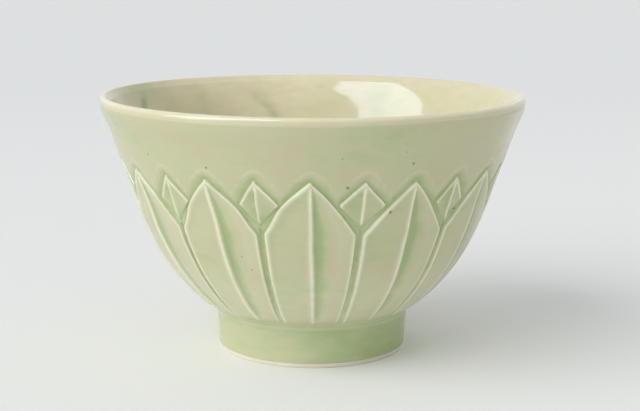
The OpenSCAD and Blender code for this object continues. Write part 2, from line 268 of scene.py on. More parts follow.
SEAM = lip_arc(0, -LIP_TUCK, 0, 2)[0]
SEAM_Z = SEAM[1]
wall_start = np.array([FOOT_TOP_R + FILLET, FOOT_H])
spread, flare = math.radians(FOOT_SPREAD), math.radians(RIM_FLARE)
wall_points = bezier(
    [
        wall_start,
        wall_start + FOOT_REACH * np.array([math.cos(spread), math.sin(spread)]),
        SEAM - RIM_REACH * np.array([math.sin(flare), math.cos(flare)]),
        SEAM,
    ],
    np.linspace(0, 1, WALL_STEPS + 1),
)
inside_points = np.concatenate([wall_points, [2 * wall_points[-1] - wall_points[-1 - BEYOND]]])
inside_steps = np.gradient(inside_points, axis=0)
inside_stretch = np.hypot(inside_steps[:, 0], inside_steps[:, 1]) / inside_steps[:, 1]
wall_z = wall_points[:, 1]
belly = BELLY * np.exp(-(((wall_z - BELLY_Z) / BELLY_H) ** 4))
eased = SWELL_EASE * rising(wall_z, SEAM_Z - SWELL_EASE_LOW, SWELL_EASE_H)
wall_points[:, 0] += belly + SWELL * rising(wall_z, SWELL_Z, SWELL_H) * (1 - eased)
wall_steps = np.gradient(wall_points, axis=0)
wall_stretch = np.hypot(wall_steps[:, 0], wall_steps[:, 1]) / wall_steps[:, 1]
wall_length = np.concatenate(
    [[0], np.cumsum(np.hypot(*np.diff(wall_points, axis=0).T))]
)


def wall_radius(z, depth=0.0):
    """The wall's radius at height z, less the depth times the level distance that one unit of thickness takes."""
    return np.interp(z, wall_points[:, 1], wall_points[:, 0]) - depth * np.interp(
        z, wall_points[:, 1], wall_stretch
    )


def inside_radius(z, depth):
    """The inside of the wall, at a depth below its outer face. It thins a little just under the lip."""
    thinner = LIP_THIN * np.clip((z - INSIDE_TOP_Z) / LIP_THIN_H + 1, 0, None) ** 3
    outer = np.interp(z, inside_points[:, 1], inside_points[:, 0])
    return outer - (depth - thinner) * np.interp(z, inside_points[:, 1], inside_stretch)


# The lip leaves its oval where a line from the top of the inside touches it
inside_seam = (np.array([inside_radius(INSIDE_TOP_Z, WALL_T), INSIDE_TOP_Z]) - lip_middle) / LIP_HALF
seam_angle = math.atan2(inside_seam[1], inside_seam[0])
LIP_LEAVE = 360 + math.degrees(seam_angle - math.acos(1 / np.hypot(*inside_seam)))


def petal_half(z):
    """Half a large petal's width in degrees: even sides up to the shoulder, then a nearly straight point."""
    side = SECTOR / 2 - np.degrees(GROOVE_W / 2 / wall_radius(z))
    shoulder = SECTOR / 2 - np.degrees(GROOVE_W / 2 / wall_radius(POINT_START_Z))
    point = shoulder * np.clip((TIP_Z - z) / POINT_H, 0, None) ** POINT_BULGE
    softness = 0.18  # degrees within which the sides and the point blend
    return -softness * np.log(np.exp(-side / softness) + np.exp(-point / softness)) * (z < TIP_Z)


def small_half(z):
    """Half a small petal's width in degrees: a point above its corners, and below them what the grooves leave."""
    point = SMALL_HALF * np.clip((TIP_Z - z) / SMALL_POINT_H, 0, None)
    slant = 1.28  # how much wider a groove beside a small petal is on the level, because it runs aslant
    left_over = SECTOR / 2 - petal_half(z) - np.degrees(GROOVE_W * slant / wall_radius(z))
    return np.maximum(np.minimum(point, left_over), 0)


# Columns of one sector: how many spaces lie between the eleven carved lines, from large midrib to large midrib
SPACES = np.array([10, 4, 8, 4, 4, 4, 4, 8, 4, 10])
STARTS = np.concatenate([[0], np.cumsum(SPACES)])
SECTOR_COLUMNS = STARTS[-1]
BLUNT = 0.3  # degrees that lines keep apart where petals end in a point


def carved_lines(z):
    """Angles of the eleven carved lines of an even sector at each height, in degrees, one row a height."""
    half = np.maximum(petal_half(z), BLUNT)
    small = np.maximum(small_half(z), BLUNT)
    gap = SECTOR / 2 - small - half
    side = np.minimum(np.degrees(GROOVE_SIDE / wall_radius(z)), gap / 3)
    zero = np.zeros_like(z)
    right = [half, half + side, SECTOR / 2 - small - side, SECTOR / 2 - small]
    lines = np.stack(
        [zero, *right, zero + SECTOR / 2, *[SECTOR - line for line in right[::-1]], zero + SECTOR], 1
    )
    even = STARTS / SECTOR_COLUMNS * SECTOR
    over = rising(z, TIP_Z, HALO_TO)[:, None]
    return lines * (1 - over) + even * over


def between(lines):
    """Subdivides each space between the carved lines, finer towards the lines: rows x eleven to rows x columns."""
    space = np.repeat(np.arange(len(SPACES)), SPACES)
    share = (np.arange(SECTOR_COLUMNS) - STARTS[space]) / SPACES[space]
    eased = 0.5 - 0.5 * np.cos(np.pi * share)
    return lines[:, space] * (1 - eased) + lines[:, space + 1] * eased


def distance_to(angles, heights, line_angles, line_heights):
    """Distance in mm, on the wall's face, from each point to the nearest sample of a line."""
    reach = np.interp(heights, wall_points[:, 1], wall_length)
    line_reach = np.interp(line_heights, wall_points[:, 1], wall_length)
    radius = wall_radius(heights)
    across = np.radians(angles[..., None] - line_angles) * radius[..., None]
    return np.sqrt(across**2 + (reach[..., None] - line_reach) ** 2).min(-1)


# Where the carving and the coat change with height: where a change starts, and the height that it takes, in mm
GROOVES_START, GROOVES_DEEPEN, GROOVES_EASE = (FOOT_H + 0.9, 5), (FOOT_H + 1, 14), (46, 4)
SCOOPS_START, POOLS_START, POOLS_GROW = (FOOT_H + 0.6, 5), (FOOT_H + 0.5, 2), (44, 4)
SMALL_SINKS, SMALL_RIB_SINKS, SMALL_SCOOP_ENDS = (FORK_Z, CORNER_Z + 2 - FORK_Z), (FORK_Z, FORK_H), (TIP_Z - 3.5, 3.5)
RIB_ENDS, SMALL_RIB_ENDS, RIGHT_POOL_ENDS = (TIP_Z - 1.6, 2.2), (TIP_Z - 1.3, 1.0), (TIP_Z - 1.2, 1.5)
LINES_START, SMALL_LINES_START, HALO_EDGE_STARTS = (FOOT_H + 0.5, 1.5), (48.2, 2), (CORNER_Z + 1, 2)
RIB_NARROWS, PANEL_LIGHT_FADES, BESIDE_TIP_ENDS = (38, 12), (23, 22), (TIP_Z - 5, 4)
SHOULDER, SHOULDER_DROP = (49.5, 3.5), (50.0, 5)  # a middle and a width

GROOVE_LOW, GROOVE_EASED = 0.45, 0.25  # the share of a groove's depth at the foot, and the share lost near the tips
SCOOP_END_H, SCOOP_END_POWER = 7, 0.6
RIGHT_DROP_W, RIGHT_POWER, LEFT_POWER = 0.9, 1.4, 0.9
LEFT_DROP_W, LEFT_DROP_WIDER, LEFT_DEEPER = 1.4, 0.9, 0.22  # the last two at the shoulder
SMALL_STEEP_W, SMALL_STEEP_POWER, SMALL_EASY_W, SMALL_EASY = 0.4, 0.7, 1.2, 0.6
RIGHT_POOL_W, RIGHT_POOL_SHARES = 0.8, (0.2, 0.24)
GROUND_POOL, GROUND_POOL_MORE, LEFT_POOL = 0.5, 0.42, 0.5

# Half widths of the pale lines, and where a coat is paler without a line: a distance in such widths. At the halo's
# edge the glaze runs thin; on the lower panels, and in part on the right halves, the paleness is painted light.
RIB_RIGHT_W, RIB_LEFT_W, RIB_LEFT_WIDER = 0.42, 0.5, 0.35
LEFT_EDGE_W, RIGHT_EDGE_W, SMALL_EDGE_W, SMALL_RIB_W = (0.6, 0.35), (0.6, 0.25), (0.4, 0.25), (0.25, 0.4)
RIGHT_EDGE_FAINTER = 0.3
HALO_EDGE_OUT, HALO_EDGE_W, HALO_EDGE = 0.4, 0.8, 1.15
# Painted light: the lower panels are painted paler, fading upwards; the right halves are paler, in part painted.
PANEL_LOW, PANEL_HIGHER, PANEL_RIGHT, PANEL_RIGHT_NEAR, PANEL_SHARES = 1.18, 1.8, 1.4, 1.6, (0.35, 0.25)
NO_LINE = 3.0  # a distance at which nothing of a pale line is left
EDGE_SAMPLES, SMALL_SAMPLES = 320, 120  # points of an outline that distances are taken to


def carve(z):
    """How deep the face lies, how much glaze pools and how far the crests are, on an even sector, rows x columns.

    The right half of a large petal drops steeply beside its midrib and rises slowly to its outline. The left
    half drops beside its outline and rises to the midrib. Grooves and ground drop to full depth beside an
    outline, and the ground rises again away from it. Distances to crests are in widths of their pale lines.
    The lower panels, and in part the right halves, are given smaller distances as painted light.
    """
    angle = between(carved_lines(z))
    height = np.broadcast_to(z[:, None], angle.shape)
    radius = wall_radius(height)
    column = np.broadcast_to(np.arange(SECTOR_COLUMNS), angle.shape)
    in_right, in_left = column <= STARTS[1], column >= STARTS[9]
    in_small = (column >= STARTS[4]) & (column <= STARTS[6])
    right_side = angle < SECTOR / 2
    edge_z = np.linspace(FOOT_H, TIP_Z, EDGE_SAMPLES)
    edge = petal_half(edge_z)
    to_right_edge = distance_to(angle, height, edge, edge_z)
    to_left_edge = distance_to(angle, height, SECTOR - edge, edge_z)
    small_z = np.linspace(FORK_Z + FORK_H / 2, TIP_Z, SMALL_SAMPLES)
    small = small_half(small_z)
    small_edges = np.concatenate([SECTOR / 2 - small, SECTOR / 2 + small])
    to_small = distance_to(angle, height, small_edges, np.concatenate([small_z, small_z]))
    rib_x = np.radians(np.minimum(angle, SECTOR - angle)) * radius
    small_rib_x = np.radians(np.abs(angle - SECTOR / 2)) * radius

    nearest_petal = np.minimum(to_right_edge, to_left_edge)
    nearest_edge = np.minimum(nearest_petal, to_small)
    small_sunk = 1 - rising(height, *SMALL_SINKS)
    beside_small = smooth_step(to_small / GROOVE_SIDE)
    groove_d = GROOVE_D * rising(height, *GROOVES_START) * (1 - GROOVE_EASED * rising(height, *GROOVES_EASE))
    groove_d *= GROOVE_LOW + (1 - GROOVE_LOW) * rising(height, *GROOVES_DEEPEN)
    sinking = smooth_step(nearest_petal / GROOVE_SIDE) * (beside_small + (1 - beside_small) * small_sunk)
    sinking *= 1 - rising(nearest_edge, HALO_FROM, HALO_TO - HALO_FROM)
    ground = groove_d * sinking

    fade = np.clip((TIP_Z - height) / SCOOP_END_H, 0, 1) ** SCOOP_END_POWER * rising(height, *SCOOPS_START)
    half = np.maximum(petal_half(height), BLUNT)
    right_share = np.clip(angle / half, 0, 1)
    left_share = np.clip((angle - (SECTOR - half)) / half, 0, 1)
    right = SCOOP_RIGHT * fade * smooth_step(rib_x / RIGHT_DROP_W) * (1 - right_share) ** RIGHT_POWER
    left_deep = SCOOP_LEFT + LEFT_DEEPER * bell(height, *SHOULDER)
    drop_w = LEFT_DROP_W + LEFT_DROP_WIDER * bell(height, *SHOULDER_DROP)
    left = left_deep * fade * smooth_step(to_left_edge / drop_w) * (1 - left_share) ** LEFT_POWER

    small_w = np.radians(np.maximum(small_half(height), BLUNT)) * radius
    small_share = np.clip(small_rib_x / small_w, 0, 1)
    steep = smooth_step(small_rib_x / SMALL_STEEP_W) * (1 - small_share) ** SMALL_STEEP_POWER
    easy = SMALL_EASY * smooth_step(small_rib_x / SMALL_EASY_W) * (1 - small_share)
    small_panel = SCOOP_SMALL * (1 - rising(height, *SMALL_SCOOP_ENDS)) * np.where(right_side, steep, easy)
    rib_sunk = 1 - rising(height, *SMALL_RIB_SINKS)
    sunk = rib_sunk * (1 - small_share) + small_sunk * small_share
    small_face = small_panel * (1 - sunk) + groove_d * sunk

    kinds = [height > TIP_Z, in_right, in_left, in_small]
    depth = np.select(kinds, [ground, right, left, small_face], ground)
    right_pool = smooth_step(rib_x / RIGHT_POOL_W) * (1 - rising(right_share, *RIGHT_POOL_SHARES))
    right_pool *= (1 - rising(height, *RIGHT_POOL_ENDS)) * rising(height, *SCOOPS_START)
    above_foot = rising(height, *POOLS_START)
    ground_pool = sinking * above_foot * (GROUND_POOL + GROUND_POOL_MORE * rising(height, *POOLS_GROW))
    small_pool = small_panel * (1 - sunk) + GROUND_POOL * above_foot * sunk
    pooled = np.select(kinds, [ground_pool, right_pool, LEFT_POOL * left, small_pool], ground_pool)

    rib_left_w = RIB_LEFT_W + RIB_LEFT_WIDER * (1 - rising(height, *RIB_NARROWS))
    small_rib_off = NO_LINE * (1 - (1 - rib_sunk) * (1 - rising(height, *SMALL_RIB_ENDS)))
    # Painted light, in part: the right halves grow paler towards their outlines, where the glaze also runs buff.
    right_buff_and_light = PANEL_RIGHT + PANEL_RIGHT_NEAR * (1 - rising(right_share, *PANEL_SHARES))
    halo_edge = HALO_EDGE + np.abs(nearest_edge - HALO_TO - HALO_EDGE_OUT) / HALO_EDGE_W
    on_petal = (in_right | in_left | in_small) & (height < TIP_Z)
    crest = np.min(
        [
            rib_x / np.where(right_side, RIB_RIGHT_W, rib_left_w) + NO_LINE * rising(height, *RIB_ENDS),
            to_left_edge / np.where(in_left, *LEFT_EDGE_W),
            to_right_edge / np.where(in_right, *RIGHT_EDGE_W) + RIGHT_EDGE_FAINTER,
            to_small / np.where(in_small, *SMALL_EDGE_W) + NO_LINE * (1 - rising(height, *SMALL_LINES_START)),
            small_rib_x / np.where(right_side, *SMALL_RIB_W) + small_rib_off,
            halo_edge + NO_LINE * (1 - rising(height, *HALO_EDGE_STARTS) + on_petal),
            # painted light: the lower panels are paler, less so higher up
            PANEL_LOW + PANEL_HIGHER * rising(height, *PANEL_LIGHT_FADES),
            # the right halves: paler, in part as painted light
            np.where(in_right, right_buff_and_light, NO_LINE) + NO_LINE * rising(height, *BESIDE_TIP_ENDS),
        ],
        0,
    )
    return depth, pooled, crest + NO_LINE * (1 - rising(height, *LINES_START))


DRIFT_RISE = 26  # the height over which a line goes from its foot's place to its shoulder's
TIPS_DRIFT, SMALL_RIB_PARTS, LIFT_STARTS, LIFT_ENDS = (POINT_START_Z, 12), (FORK_Z, 4), (30, 15), (58, 6)
BULGE_AT, CORNER_AT = (49.5, 4), (50.3, 3.2)  # a middle and a width


def carved_ring_points(z, step, skin, share):
    """Points of the whole carved belt: even sectors with each petal's own drift, at a skin's depth below the face.

    An angle moves by its line's drift, mixed along the height from foot to shoulder to tip, and pointed ends
    bulge outwards. The radius is the wall's, less the skin and the share of the carved depth.
    """
    depth, pooled, crest = carve(z)
    lines = carved_lines(z)
    up = np.clip((z - FOOT_H) / DRIFT_RISE, 0, 1)[:, None]
    top = rising(z, *TIPS_DRIFT)[:, None]
    low = rising(z, *SMALL_RIB_PARTS)[:, None]
    away = (1 - rising(z, TIP_Z, HALO_TO))[:, None]
    bulge = bell(z, *BULGE_AT)[:, None]
    at_corner = bell(z, *CORNER_AT)[:, None]
    lift = (rising(z, *LIFT_STARTS) * (1 - rising(z, *LIFT_ENDS)))[:, None]
    right_share = (lines[:, 2:4] - lines[:, 1:2]) / (lines[:, 4:5] - lines[:, 1:2])
    left_share = (lines[:, 7:9] - lines[:, 6:7]) / (lines[:, 9:10] - lines[:, 6:7])

    def along(foot, middle, tip):
        return foot * (1 - up) + middle * up * (1 - top) + tip * top

    belt_angles, belt_heights, change = [], [], []
    for petal in range(PETALS):
        after = (petal + 1) % PETALS
        rib, next_rib = (along(RIB_FOOT_DRIFT[p], RIB_DRIFT[p], TIP_DRIFT[p]) for p in (petal, after))
        right = along(RIGHT_FOOT_DRIFT[petal], RIGHT_DRIFT[petal], TIP_DRIFT[petal]) + RIGHT_BULGE[petal] * bulge
        left = along(LEFT_FOOT_DRIFT[after], LEFT_DRIFT[after], TIP_DRIFT[after]) - LEFT_BULGE[after] * bulge
        small_rib = (right + left) / 2 * (1 - low) + SMALL_DRIFT[petal] * low
        small_left = small_rib + SMALL_LEFT[petal] * at_corner * low
        small_right = small_rib + SMALL_RIGHT[petal] * at_corner * low
        moves = [
            rib, right, right + (small_left - right) * right_share, small_left, small_rib,
            small_right, small_right + (left - small_right) * left_share, left, next_rib,
        ]
        belt_angles.append(between(lines + np.concatenate(moves, 1) * away) + petal * SECTOR)
        share_across = np.linspace(0, 1, SECTOR_COLUMNS, endpoint=False)
        rises = np.interp(share_across, [0, 0.5, 1], [TIP_RISE[petal], SMALL_RISE[petal], TIP_RISE[after]])
        belt_heights.append(z[:, None] + lift * rises)
        change.append(np.interp(share_across, [0, 1], [SCOOP_CHANGE[petal], SCOOP_CHANGE[after]]))
    angles = np.concatenate(belt_angles, 1)[:, ::step]
    heights = np.concatenate(belt_heights, 1)[:, ::step]
    depths = (np.tile(depth, (1, PETALS)) * np.concatenate(change))[:, ::step]
    radius = wall_radius(heights, skin + share * depths)
    return round_axis(radius, heights, angles), *(np.tile(f, (1, PETALS))[:, ::step] for f in (pooled, crest))


def round_axis(radius, height, degrees):
    """Points at a radius, a height and an angle from the front towards the right."""
    angle = np.radians(degrees)
    return np.stack([radius * np.sin(angle), -radius * np.cos(angle), height], -1)


def degrees_round(points):
    """Each point's angle from the front towards the right, from -180 to 180."""
    return np.degrees(np.arctan2(points[..., 0], -points[..., 1]))


def turned(outline, columns):
    """Rings of an outline of [radius, height] points turned about the axis."""
    outline = np.asarray(outline)
    degrees = np.arange(columns) * 360 / columns
    return round_axis(
        outline[:, :1] + 0 * degrees, outline[:, 1:] + 0 * degrees, np.broadcast_to(degrees, (len(outline), columns))
    )


SHARP = 50  # degrees between two faces from which the edge between them isn't smoothed


def closed_skin(name, rings, looped, fields):
    """One closed mesh from rings of points: the last ring joins the first, or each end closes on a middle point.

    Faces are four-sided between neighbouring rings, and all turn outwards. fields are values for each point.
    """
    rows, columns = rings.shape[:2]
    here = np.arange(rows * columns).reshape(rows, columns)
    beside = np.roll(here, -1, 1)
    points = rings.reshape(-1, 3)
    if looped:
        quads = np.stack([here, beside, np.roll(beside, -1, 0), np.roll(here, -1, 0)], -1).reshape(-1, 4)
        caps = np.zeros((0, 3), int)
    else:
        quads = np.stack([here[:-1], beside[:-1], beside[1:], here[1:]], -1).reshape(-1, 4)
        ends = np.stack([rings[0].mean(0), rings[-1].mean(0)])
        count = len(points)
        points = np.concatenate([points, ends])
        fields = {key: np.concatenate([value.ravel(), value[[0, -1], 0]]) for key, value in fields.items()}
        first = np.stack([np.full(columns, count), beside[0], here[0]], 1)
        last = np.stack([np.full(columns, count + 1), here[-1], beside[-1]], 1)
        caps = np.concatenate([first, last])
    a, b, c, d = (points[quads[:, i]] for i in range(4))
    volume = (np.cross(a, b) * c).sum() + (np.cross(a, c) * d).sum()
    if volume < 0:
        quads, caps = quads[:, ::-1], caps[:, ::-1]
    mesh = bpy.data.meshes.new(name)
    mesh.from_pydata((points * MM).tolist(), [], quads.tolist() + caps.tolist())
    for key, value in fields.items():
        mesh.attributes.new(key, "FLOAT", "POINT").data.foreach_set("value", value.astype(np.float32).ravel())
    mesh.shade_smooth()
    mesh.set_sharp_from_angle(angle=math.radians(SHARP))
    made = bpy.data.objects.new(name, mesh)
    bpy.context.scene.collection.objects.link(made)
    return made


def rows_between(*stops):
    """Heights in steps: each stop after the first is a height and the number of steps up to it."""
    heights = [np.array([stops[0]])]
    for top, steps in stops[1:]:
        heights.append(np.linspace(heights[-1][-1], top, steps + 1)[1:])
    return np.concatenate(heights)


def foot_radius(z):
    """The foot's side is a cone: r = base + (top - base) z / height."""
    return FOOT_BASE_R + (FOOT_TOP_R - FOOT_BASE_R) * z / FOOT_H


# The glaze fills the corner between the foot's side and the wall, on a quadratic curve
JOIN_LOW_Z, JOIN_CORNER_Z, JOIN_TOP_Z = 10.4, 11.75, FOOT_H + 1
JOIN_STEPS = 60
join_points = bezier(
    [
        np.array([foot_radius(JOIN_LOW_Z), JOIN_LOW_Z]),
        np.array([foot_radius(JOIN_CORNER_Z), JOIN_CORNER_Z]),
        np.array([wall_radius(JOIN_TOP_Z), JOIN_TOP_Z]),
    ],
    np.linspace(0, 1, JOIN_STEPS),
)


def join_radius(z):
    """The radius of that curve at height z, mixed between its nearest two points."""
    return np.interp(z, join_points[:, 1], join_points[:, 0])


RING_OUTER_R = FOOT_BASE_R - FOOT_EDGE
RING_INNER_R = RING_OUTER_R - RING_W
RING_ROUND, RING_ROUND_MIDDLE = 0.5, (0.15, 0.12)  # the ring's inner edge, worn round
TURN_Z = FOOT_H + 2 * FLOOR_T  # where the well's curve meets the wall's
GLAZED_FLOOR_Z = RECESS_H + FLOOR_T
WELL_FLAT, WELL_PULL = 0.5, 0.36  # how far the well holds its level and the wall's slope, as shares of its radius
JOINT_R = FOOT_TOP_R + FILLET / 2
SLOPE_STEP = 0.05
MIDDLE_R = 0.5  # the last ring before the middle of the recess
CORNER_STEPS, EDGE_STEPS = 9, 7
INSIDE_STEPS, INSIDE_BACK_STEPS = 40, 14  # of the well and of the wall, on a coat's face and on its back
LIP_STEPS, LIP_BACK_STEPS = 36, 20


def inside_outline(depth, floor_z, steps):
    """The inside from the middle of the well up to the seam under the lip: a cubic well, then the wall's own curve."""
    end = np.array([inside_radius(TURN_Z, depth), TURN_Z])
    before, after = inside_radius(TURN_Z - SLOPE_STEP, depth), inside_radius(TURN_Z + SLOPE_STEP, depth)
    slope = np.array([after - before, 2 * SLOPE_STEP])
    pull = slope / np.hypot(*slope) * end[0] * WELL_PULL
    well = bezier(
        [np.array([0, floor_z]), np.array([end[0] * WELL_FLAT, floor_z]), end - pull, end],
        np.linspace(0, 1, steps + 1),
    )
    share = np.linspace(0, 1, steps + 1)[1:]
    heights = TURN_Z + (INSIDE_TOP_Z - TURN_Z) * share * (3 - share) / 2
    return np.concatenate([well[1:], np.stack([inside_radius(heights, depth), heights], 1)])


def recess_outline(inset, low_z):
    """The recess inside the foot: a tapered side, a round corner and a level ceiling, from low_z to the middle."""
    ceiling = RECESS_H + GLAZE_T - inset
    side = RING_INNER_R - RECESS_TAPER * (ceiling - RECESS_CORNER) / RECESS_H - inset
    angle = np.linspace(0, math.pi / 2, CORNER_STEPS)
    corner = np.stack(
        [side - RECESS_CORNER * (1 - np.cos(angle)), ceiling - RECESS_CORNER * (1 - np.sin(angle))], 1
    )
    low = [[RING_INNER_R - RECESS_TAPER * low_z / RECESS_H - inset, low_z]]
    return np.concatenate([low, corner, [[side / 2, ceiling], [MIDDLE_R, ceiling]]])


CLAY_STEP = 2  # the clay has one column where the coat over it has this many
CLAY_COLUMNS = PETALS * SECTOR_COLUMNS // CLAY_STEP

# Rows are closer together from the start of the petals' points to the ground above them
clay_rows = rows_between(
    JOIN_TOP_Z, (POINT_START_Z, 10), (TIP_Z, 18), (TIP_Z + 1.5, 3), (TIP_Z + HALO_TO, 2), (SEAM_Z, 2)
)
edge_angle = np.linspace(0, math.pi / 2, EDGE_STEPS)
edge_w = foot_radius(BARE_H) - GLAZE_T - RING_OUTER_R
under = np.concatenate(
    [
        recess_outline(0, RING_ROUND)[::-1],
        [[RING_INNER_R + RING_ROUND_MIDDLE[0], RING_ROUND_MIDDLE[1]]],
        [[RING_INNER_R + RING_ROUND, 0], [RING_OUTER_R, 0]],
        np.stack([RING_OUTER_R + edge_w * np.sin(edge_angle), BARE_H * (1 - np.cos(edge_angle))], 1)[1:],
        [[foot_radius(FOOT_H) - GLAZE_T, FOOT_H]],
    ]
)
over = np.concatenate(
    [
        lip_arc(LIP_GLAZE_T, -LIP_START, LIP_LEAVE, LIP_BACK_STEPS),
        inside_outline(WALL_T - INNER_GLAZE_T, GLAZED_FLOOR_Z - INNER_GLAZE_T, INSIDE_BACK_STEPS)[::-1],
    ]
)
carved, _, _ = carved_ring_points(clay_rows, CLAY_STEP, GLAZE_T, POOL_SHARE)
clay_rings = np.concatenate([turned(under, CLAY_COLUMNS), carved, turned(over, CLAY_COLUMNS)])
fired_clay = closed_skin("fired_clay", clay_rings, False, {})
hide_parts("clay_body")
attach(fired_clay, BODY)

# Stoneware, turned and fired bare: a matt pale buff with fine grit and a faint toasted blush
GRIT_SIZE, TOASTED_SIZE = 0.8, 12  # mm
tree, shader, stoneware = new_material("stoneware turned and fired bare")
place = add_node(tree, "ShaderNodeTexCoord").outputs["Object"]
grit = add_node(tree, "ShaderNodeTexNoise", {"Vector": place, "Scale": 1 / (GRIT_SIZE * MM), "Detail": 4})
blush = add_node(tree, "ShaderNodeTexNoise", {"Vector": place, "Scale": 1 / (TOASTED_SIZE * MM), "Detail": 2})
clay_tone = add_node(
    tree, "ShaderNodeMix",
    {"Factor": blush.outputs[0], "A": linear("#ece6d5"), "B": linear("#e2d8c4")},
    data_type="RGBA",
)
tree.links.new(clay_tone.outputs["Result"], shader.inputs["Base Color"])
shader.inputs["Roughness"].default_value = 0.75
bump = add_node(tree, "ShaderNodeBump", {"Height": grit.outputs[0], "Strength": 0.4, "Distance": 0.08 * MM})
tree.links.new(bump.outputs["Normal"], shader.inputs["Normal"])
fired_clay.data.materials.append(stoneware)


# ---- Outer glaze ----
# The celadon on the petals and the plain band. It runs thin and cream over every carved edge, and pools green in
# the grooves, beside the midribs and in the ground above the petals. Low on the petals and near the foot it is also
# painted paler as painted light, and so in part on the petals' right halves; towards the right of the band it is
# painted paler as a painted sheen.
face_rows = rows_between(
    FOOT_H, (JOIN_TOP_Z, 5), (FOOT_H + 4, 4), (POINT_START_Z, 22), (TIP_Z, 36), (TIP_Z + 4.5, 15), (SEAM_Z, 6)
)
face, face_pool, face_crest = carved_ring_points(np.maximum(face_rows, JOIN_TOP_Z), 1, 0.0, 1.0)
back, back_pool, back_crest = carved_ring_points(clay_rows[::-1], 1, GLAZE_T, POOL_SHARE)
low = face_rows < JOIN_TOP_Z
face[low, :, :2] *= (join_radius(face_rows[low]) / wall_radius(JOIN_TOP_Z))[:, None, None]
face[low, :, 2] = face_rows[low, None]
foot_back = back[-1:].copy()
foot_back[..., :2] *= (JOINT_R - GLAZE_T) / np.hypot(foot_back[..., 0], foot_back[..., 1])[..., None]
foot_back[..., 2] = FOOT_H
coat_rings = np.concatenate([face, back, foot_back])
coat_pool = np.concatenate([face_pool, back_pool, back_pool[-1:]])
coat_crest = np.concatenate([face_crest, back_crest, back_crest[-1:]])

# The coat pools a little over the foot, and is painted paler there as painted light. On the plain band it is
# greener in two broad places, and painted paler towards the right as a painted sheen.
FOOT_POOL, FOOT_PAINTED_LIGHT, FOOT_POOL_ENDS, BAND_STARTS = 0.3, 1.85, (FOOT_H + 0.4, 2.6), (58, 4)
BAND_GREENER = [(-60, 20, 0.2), (14, 20, 0.18)]  # the middle and width in degrees, and the extra pool
BAND_PAINTED_SHEEN, BAND_SHEEN_AT = 1.9, (68, 14)
near_foot = 1 - rising(coat_rings[..., 2], *FOOT_POOL_ENDS)
coat_pool = np.maximum(coat_pool, FOOT_POOL * near_foot)
# Painted light: the coat is painted paler near the foot, where the petals shade it.
coat_crest = np.minimum(coat_crest, NO_LINE - FOOT_PAINTED_LIGHT * near_foot)
around = degrees_round(coat_rings)
on_band = rising(coat_rings[..., 2], *BAND_STARTS)
for degrees, width, more in BAND_GREENER:
    coat_pool += on_band * more * bell(around, degrees, width)
# Painted sheen: the plain band is painted paler towards its right edge.
coat_crest -= on_band * BAND_PAINTED_SHEEN * bell(around, *BAND_SHEEN_AT)
outer_coat = closed_skin("petal_coat", coat_rings, True, {"pool_and_shade": coat_pool, "crest": coat_crest})
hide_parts("outer_glaze")
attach(outer_coat, BODY)

# Iron specks in the glaze: angle from the front to the right, height and half width in mm
SPECKS = [
    (23.1, 47.5, 0.62), (48.3, 46.1, 0.45), (9.7, 54.7, 0.5), (27.3, 60.4, 0.42), (7.8, 62.4, 0.22), (24.6, 63.6, 0.2),
    (-28.6, 58.9, 0.38), (-49.4, 60.6, 0.3), (-22.8, 34.8, 0.3), (-20.3, 31.1, 0.28), (78.0, 33.0, 0.4),
    (103.0, 61.5, 0.45), (131.0, 44.0, 0.35), (158.0, 63.0, 0.4), (-165.0, 52.0, 0.5), (-141.0, 61.0, 0.3),
    (-118.0, 38.0, 0.4), (-92.0, 63.5, 0.35), (-74.0, 47.0, 0.3),
]
SPECK_R = 52.0  # mm, a cylinder on which the specks are laid out
CLOUD_SIZE, CLOUD_DRAWN, VEIL_SIZE, BLUSH_SIZE, RIPPLE_SIZE = 16, 2.6, 5, 9, 7  # mm, and how far a cloud is drawn out


def speck_distance(tree, place, specks):
    """Distance from the nearest speck in its half widths, measured on a cylinder so that carving changes nothing."""
    level = add_node(tree, "ShaderNodeVectorMath", {0: place, 1: (1, 1, 0)}, operation="MULTIPLY")
    outwards = add_node(tree, "ShaderNodeVectorMath", {0: level.outputs[0]}, operation="NORMALIZE")
    round_it = add_node(
        tree, "ShaderNodeVectorMath", {0: outwards.outputs[0], "Scale": SPECK_R * MM}, operation="SCALE"
    )
    upright = add_node(tree, "ShaderNodeVectorMath", {0: place, 1: (0, 0, 1)}, operation="MULTIPLY")
    spot = add_node(
        tree, "ShaderNodeVectorMath", {0: round_it.outputs[0], 1: upright.outputs[0]}, operation="ADD"
    )
    nearest = None
    for degrees, height, half_width in specks:
        middle = round_axis(SPECK_R, height, degrees) * MM
        gap = add_node(tree, "ShaderNodeVectorMath", {0: spot.outputs[0], 1: middle}, operation="DISTANCE")
        size = add_node(
            tree, "ShaderNodeMath", {0: gap.outputs["Value"], 1: half_width * MM}, operation="DIVIDE"
        ).outputs[0]
        if nearest is not None:
            size = add_node(tree, "ShaderNodeMath", {0: nearest, 1: size}, operation="MINIMUM").outputs[0]
        nearest = size
    return nearest


